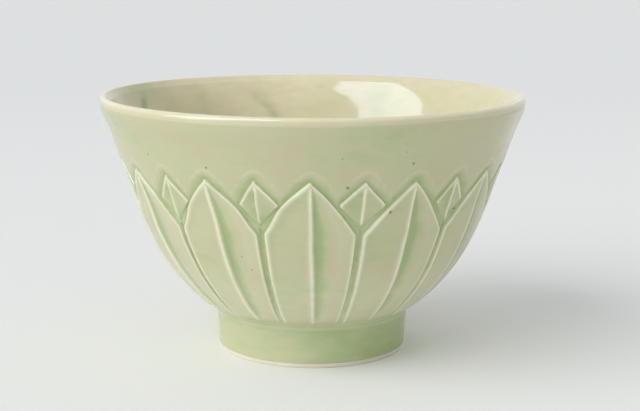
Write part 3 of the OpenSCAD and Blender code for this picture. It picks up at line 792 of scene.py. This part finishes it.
def celadon(name, specks, roughness, thin_colour="#f2efd6"):
    """Ash celadon, dipped and fired: colour runs from cream where it is thin, over khaki, to green where it pools.
    Its two attributes also carry painted light and painted shade.
    """
    tree, shader, material = new_material(name)
    place = add_node(tree, "ShaderNodeTexCoord").outputs["Object"]
    pool_and_shade = add_node(tree, "ShaderNodeAttribute", attribute_name="pool_and_shade").outputs["Fac"]
    crest = add_node(tree, "ShaderNodeAttribute", attribute_name="crest").outputs["Fac"]

    # Clouds drawn out round the bowl shift the glaze between khaki and green
    drawn_out = add_node(tree, "ShaderNodeMapping", {"Vector": place, "Scale": (1, 1, CLOUD_DRAWN)}).outputs["Vector"]
    cloud = add_node(
        tree, "ShaderNodeTexNoise",
        {"Vector": drawn_out, "Scale": 1 / (CLOUD_SIZE * MM), "Detail": 3, "Roughness": 0.55},
    )
    veil = add_node(tree, "ShaderNodeTexNoise", {"Vector": drawn_out, "Scale": 1 / (VEIL_SIZE * MM), "Detail": 3})
    drift = add_node(
        tree, "ShaderNodeMapRange",
        {"Value": cloud.outputs[0], "From Min": 0.4, "From Max": 0.66, "To Min": -0.1, "To Max": 0.24},
    )
    fine = add_node(
        tree, "ShaderNodeMapRange",
        {"Value": veil.outputs[0], "From Min": 0.3, "From Max": 0.7, "To Min": -0.09, "To Max": 0.1},
    )
    patch = add_node(tree, "ShaderNodeMath", {0: pool_and_shade, 1: drift.outputs[0]}, operation="ADD")
    depth = add_node(
        tree, "ShaderNodeMath", {0: patch.outputs[0], 1: fine.outputs[0]}, operation="ADD", use_clamp=True
    )
    ramp = add_node(tree, "ShaderNodeValToRGB", {"Fac": depth.outputs[0]})
    stops = ramp.color_ramp.elements
    stops[0].position, stops[0].color = 0.0, linear("#c8c6a2")
    stops[1].position, stops[1].color = 1.0, linear("#a9b781")
    for position, colour in ((0.2, "#c5c79e"), (0.45, "#b8c396"), (0.75, "#aebd89")):
        stops.new(position).color = linear(colour)

    # A warm blush where the coat is thin
    warm = add_node(tree, "ShaderNodeTexNoise", {"Vector": place, "Scale": 1 / (BLUSH_SIZE * MM), "Detail": 2})
    blush = add_node(
        tree, "ShaderNodeMapRange",
        {"Value": warm.outputs[0], "From Min": 0.5, "From Max": 0.7, "To Min": 0.0, "To Max": 0.26},
    )
    shallow = add_node(
        tree, "ShaderNodeMapRange",
        {"Value": depth.outputs[0], "From Min": 0.1, "From Max": 0.5, "To Min": 1.0, "To Max": 0.0},
    )
    blushing = add_node(
        tree, "ShaderNodeMath", {0: blush.outputs[0], 1: shallow.outputs[0]}, operation="MULTIPLY"
    )
    warmed = add_node(
        tree, "ShaderNodeMix",
        {"Factor": blushing.outputs[0], "A": ramp.outputs["Color"], "B": linear("#cdb895")}, data_type="RGBA",
    )

    # Cream lines on the crests: e to the minus squared distance in line widths. Distances made smaller as painted
    # light, and larger as painted shade, go through this same mix.
    squared = add_node(tree, "ShaderNodeMath", {0: crest, 1: crest}, operation="MULTIPLY")
    minus = add_node(tree, "ShaderNodeMath", {0: squared.outputs[0], 1: -1.0}, operation="MULTIPLY")
    bare = add_node(tree, "ShaderNodeMath", {0: minus.outputs[0]}, operation="EXPONENT")
    uneven = add_node(
        tree, "ShaderNodeMapRange",
        {"Value": veil.outputs[0], "From Min": 0.3, "From Max": 0.68, "To Min": 1.0, "To Max": 0.78},
    )
    thin = add_node(tree, "ShaderNodeMath", {0: bare.outputs[0], 1: uneven.outputs[0]}, operation="MULTIPLY")
    lined = add_node(
        tree, "ShaderNodeMix",
        {"Factor": thin.outputs[0], "A": warmed.outputs["Result"], "B": linear(thin_colour)}, data_type="RGBA",
    )
    colour = lined.outputs["Result"]
    if specks:
        to_speck = speck_distance(tree, place, specks)
        iron = add_node(
            tree, "ShaderNodeMapRange",
            {"Value": to_speck, "From Min": 0.3, "From Max": 1.1, "To Min": 0.75, "To Max": 0.0},
        )
        colour = add_node(
            tree, "ShaderNodeMix", {"Factor": iron.outputs[0], "A": colour, "B": linear("#5c5a3c")}, data_type="RGBA"
        ).outputs["Result"]
    tree.links.new(colour, shader.inputs["Base Color"])
    shader.inputs["Roughness"].default_value = roughness
    shader.inputs["IOR"].default_value = 1.5
    ripple = add_node(tree, "ShaderNodeTexNoise", {"Vector": place, "Scale": 1 / (RIPPLE_SIZE * MM), "Detail": 2})
    wavy = add_node(tree, "ShaderNodeBump", {"Height": ripple.outputs[0], "Strength": 0.25, "Distance": 0.25 * MM})
    tree.links.new(wavy.outputs["Normal"], shader.inputs["Normal"])
    return material


outer_coat.data.materials.append(celadon("celadon over carving, dipped and fired", SPECKS, roughness=0.2))


# ---- Lip glaze ----
# The thin coat over the rolled lip, dipped with the rest. The glaze runs off the roll in the kiln and breaks to
# cream, at a height that wanders a little round the bowl.
COAT_COLUMNS = 360
BREAK_Z, BREAK_TILT, BREAK_WAVE, BREAK_TURN = 70.8, 0.4, 0.15, 1.1  # mm, and radians
BREAK_BAND, CROWN_BAND, OUTSIDE_BAND = (-0.2, 0.7), (71.5, 1.2), (-1, 1.5)  # mm: a start, and the span it takes
# Painted shade: the inside of the lip and the top of the inner wall are painted darker at the far left.
BACK_LEFT, FAR_LEFT_SHADE = (205, 30), (250, 14)  # degrees: where the coat is paler, and where it is darker
INSIDE_CREST, BACK_PALER, FAR_PAINTED_SHADE = 0.75, 0.6, 0.5  # distances from a crest, in widths of its pale line
LIP_LOW, LIP_BREAK, LIP_CROWN = 1.65, 1.35, 0.65
THIN_POOL = 0.05


def lip_outline(inset, depth, steps):
    """The lip's outline: the wall's top, the oval up to where it is left, and the top of the inside."""
    wall_top = [[wall_radius(SEAM_Z, inset), SEAM_Z]]
    inside_top = [[inside_radius(INSIDE_TOP_Z, depth), INSIDE_TOP_Z]]
    return np.concatenate([wall_top, lip_arc(inset, -LIP_START, LIP_LEAVE, steps), inside_top])


lip_outer = lip_outline(0, WALL_T, LIP_STEPS)
lip_inner = lip_outline(LIP_GLAZE_T, WALL_T - INNER_GLAZE_T, LIP_BACK_STEPS)
rings = turned(np.concatenate([lip_outer, lip_inner[::-1]]), COAT_COLUMNS)
around = np.radians(degrees_round(rings))
break_z = BREAK_Z + BREAK_TILT * np.sin(around - BREAK_TURN) + BREAK_WAVE * np.sin(3 * around)
outside = rising(np.hypot(rings[..., 0], rings[..., 1]) - lip_middle[0], *OUTSIDE_BAND)
thin_lip = rising(rings[..., 2] - break_z, *BREAK_BAND)
crown = rising(rings[..., 2], *CROWN_BAND)
around = degrees_round(rings) % 360
lip_crest = INSIDE_CREST + outside * (LIP_LOW - LIP_BREAK * thin_lip - LIP_CROWN * crown)
# Painted shade: the lip's inside is painted darker at the far left; at the back left it is paler.
lip_crest -= (BACK_PALER * bell(around, *BACK_LEFT) - FAR_PAINTED_SHADE * bell(around, *FAR_LEFT_SHADE)) * (1 - outside)
lip_coat = closed_skin("lip_coat", rings, True, {"pool_and_shade": THIN_POOL * (1 - outside), "crest": lip_crest})
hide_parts("lip_glaze")
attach(lip_coat, BODY)
lip_coat.data.materials.append(celadon("celadon run thin over the lip", [], roughness=0.1, thin_colour="#f4ebcd"))


# ---- Inner glaze ----
# The coat that was poured into the bowl and turned out again. It is even and glossy, with a few thicker runs down
# the wall and a greener pool in the well. Near the rim at the far left it is painted darker, as painted shade.

# Runs: degrees round from the front, width in degrees, extra pool, and lean in degrees for each mm
GLAZE_RUNS = [
    (245, 1.7, 1.0, -0.6), (232, 3.0, 0.12, -0.4), (219, 2.0, 0.14, 0.0), (204, 2.0, 0.35, 1.0), (199, 2.4, 0.3, 0.6),
    (158, 3.0, 0.12, 0.0), (118, 4.0, 0.12, 0.2), (62, 3.6, 0.2, -0.2), (20, 4.5, 0.12, 0.3), (330, 2.6, 0.22, 0.1),
    (289, 4.0, 0.16, -0.3),
]
RUNS_START_H, RUNS_END = 3, (28, 21)  # mm: they set in within this of the seam, and fade out over the well
RIM_BAND, WELL_BAND = (62, 9), (GLAZED_FLOOR_Z + 1, 16)
PALE_STREAK = (196, 13)  # degrees: its middle and its width
RUN_DARKER, WELL_DARKER, RIM_PAINTED_SHADE, WELL_POOL = 1.2, 0.45, 0.7, 0.3
inner_face = inside_outline(WALL_T, GLAZED_FLOOR_Z, INSIDE_STEPS)
inner_back = inside_outline(WALL_T - INNER_GLAZE_T, GLAZED_FLOOR_Z - INNER_GLAZE_T, INSIDE_BACK_STEPS)
rings = turned(np.concatenate([inner_face, inner_back[::-1]]), COAT_COLUMNS)
height = rings[..., 2]
around = degrees_round(rings) % 360
above_well = rising(height, *RUNS_END)
runs = sum(
    strength * bell(around, degrees + lean * (height - SEAM_Z), width)
    for degrees, width, strength, lean in GLAZE_RUNS
)
runs = runs * smooth_step((SEAM_Z - height) / RUNS_START_H) * above_well
in_well = 1 - rising(height, *WELL_BAND)
near_rim = rising(height, *RIM_BAND)
paler = np.clip(above_well * bell(around, *PALE_STREAK) + near_rim * bell(around, *BACK_LEFT), 0, 1)
inner_crest = INSIDE_CREST - BACK_PALER * paler + RUN_DARKER * np.clip(runs, 0, 1) + WELL_DARKER * in_well
# Painted shade: the top of the inner wall is painted darker at the far left.
inner_crest += RIM_PAINTED_SHADE * bell(around, *FAR_LEFT_SHADE) * near_rim
inner_pool = THIN_POOL + runs + WELL_POOL * in_well
inner_coat = closed_skin("inner_coat", rings, False, {"pool_and_shade": inner_pool, "crest": inner_crest})
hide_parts("inner_glaze")
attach(inner_coat, BODY)
inner_coat.data.materials.append(celadon("celadon poured inside", [], roughness=0.08, thin_colour="#f2e9c9"))


# ---- Foot glaze ----
# The coat on the side of the foot, dipped with the rest. It pools in the corner under the petals, where it is also
# painted paler as painted light in their shade, and it is painted darker and greener towards the right as painted
# shade. It is wiped off above the standing ring so that the bowl doesn't stick to the kiln's shelf.
SIDE_POOL, RIGHT_PAINTED_SHADE, CORNER_POOL, CORNER_PAINTED_LIGHT = 0.15, 0.6, 0.3, 1.8
SHADE_RIGHT_BAND, CORNER_BAND = (-0.75, 1.75), (9.8, 1.6)  # of the sine of the angle, and in mm
side_rows = rows_between(BARE_H + GLAZE_T / 2, (JOIN_LOW_Z, 10))
fillet_rows = rows_between(JOIN_LOW_Z, (FOOT_H, 12))
foot_outer = np.concatenate(
    [
        np.stack([foot_radius(side_rows), side_rows], 1)[:-1],
        np.stack([join_radius(fillet_rows), fillet_rows], 1),
    ]
)
foot_inner = np.array([[foot_radius(BARE_H) - GLAZE_T, BARE_H], [foot_radius(FOOT_H) - GLAZE_T, FOOT_H]])
rings = turned(np.concatenate([foot_outer, foot_inner[::-1]]), COAT_COLUMNS)
shade_to_right = rising(np.sin(np.radians(degrees_round(rings))), *SHADE_RIGHT_BAND)
near_top = rising(rings[..., 2], *CORNER_BAND)
# Painted shade: the coat is painted darker and greener towards the right; the corner's pooling is the glaze's own.
pooled = SIDE_POOL + RIGHT_PAINTED_SHADE * shade_to_right + CORNER_POOL * near_top * (1 - shade_to_right)
# Painted light: the corner under the petals, which they shade, is painted paler.
foot_coat = closed_skin("foot_coat", rings, True, {"pool_and_shade": pooled, "crest": NO_LINE - CORNER_PAINTED_LIGHT * near_top})
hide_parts("foot_glaze")
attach(foot_coat, BODY)
foot_coat.data.materials.append(celadon("celadon wiped at the foot", [], roughness=0.2))


# ---- Base glaze ----
# The coat in the recess inside the foot. It was poured in, and wiped off beside the standing ring, which stays bare.
# It pools evenly on the level ceiling.
BASE_POOL = 0.35
rings = turned(
    np.concatenate([recess_outline(GLAZE_T, BARE_INSIDE_H)[::-1], recess_outline(0, BARE_INSIDE_H)]), COAT_COLUMNS
)
even = np.ones(rings.shape[:2])
base_coat = closed_skin("base_coat", rings, False, {"pool_and_shade": BASE_POOL * even, "crest": NO_LINE * even})
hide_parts("base_glaze")
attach(base_coat, BODY)
base_coat.data.materials.append(celadon("celadon under the foot", [], roughness=0.2))
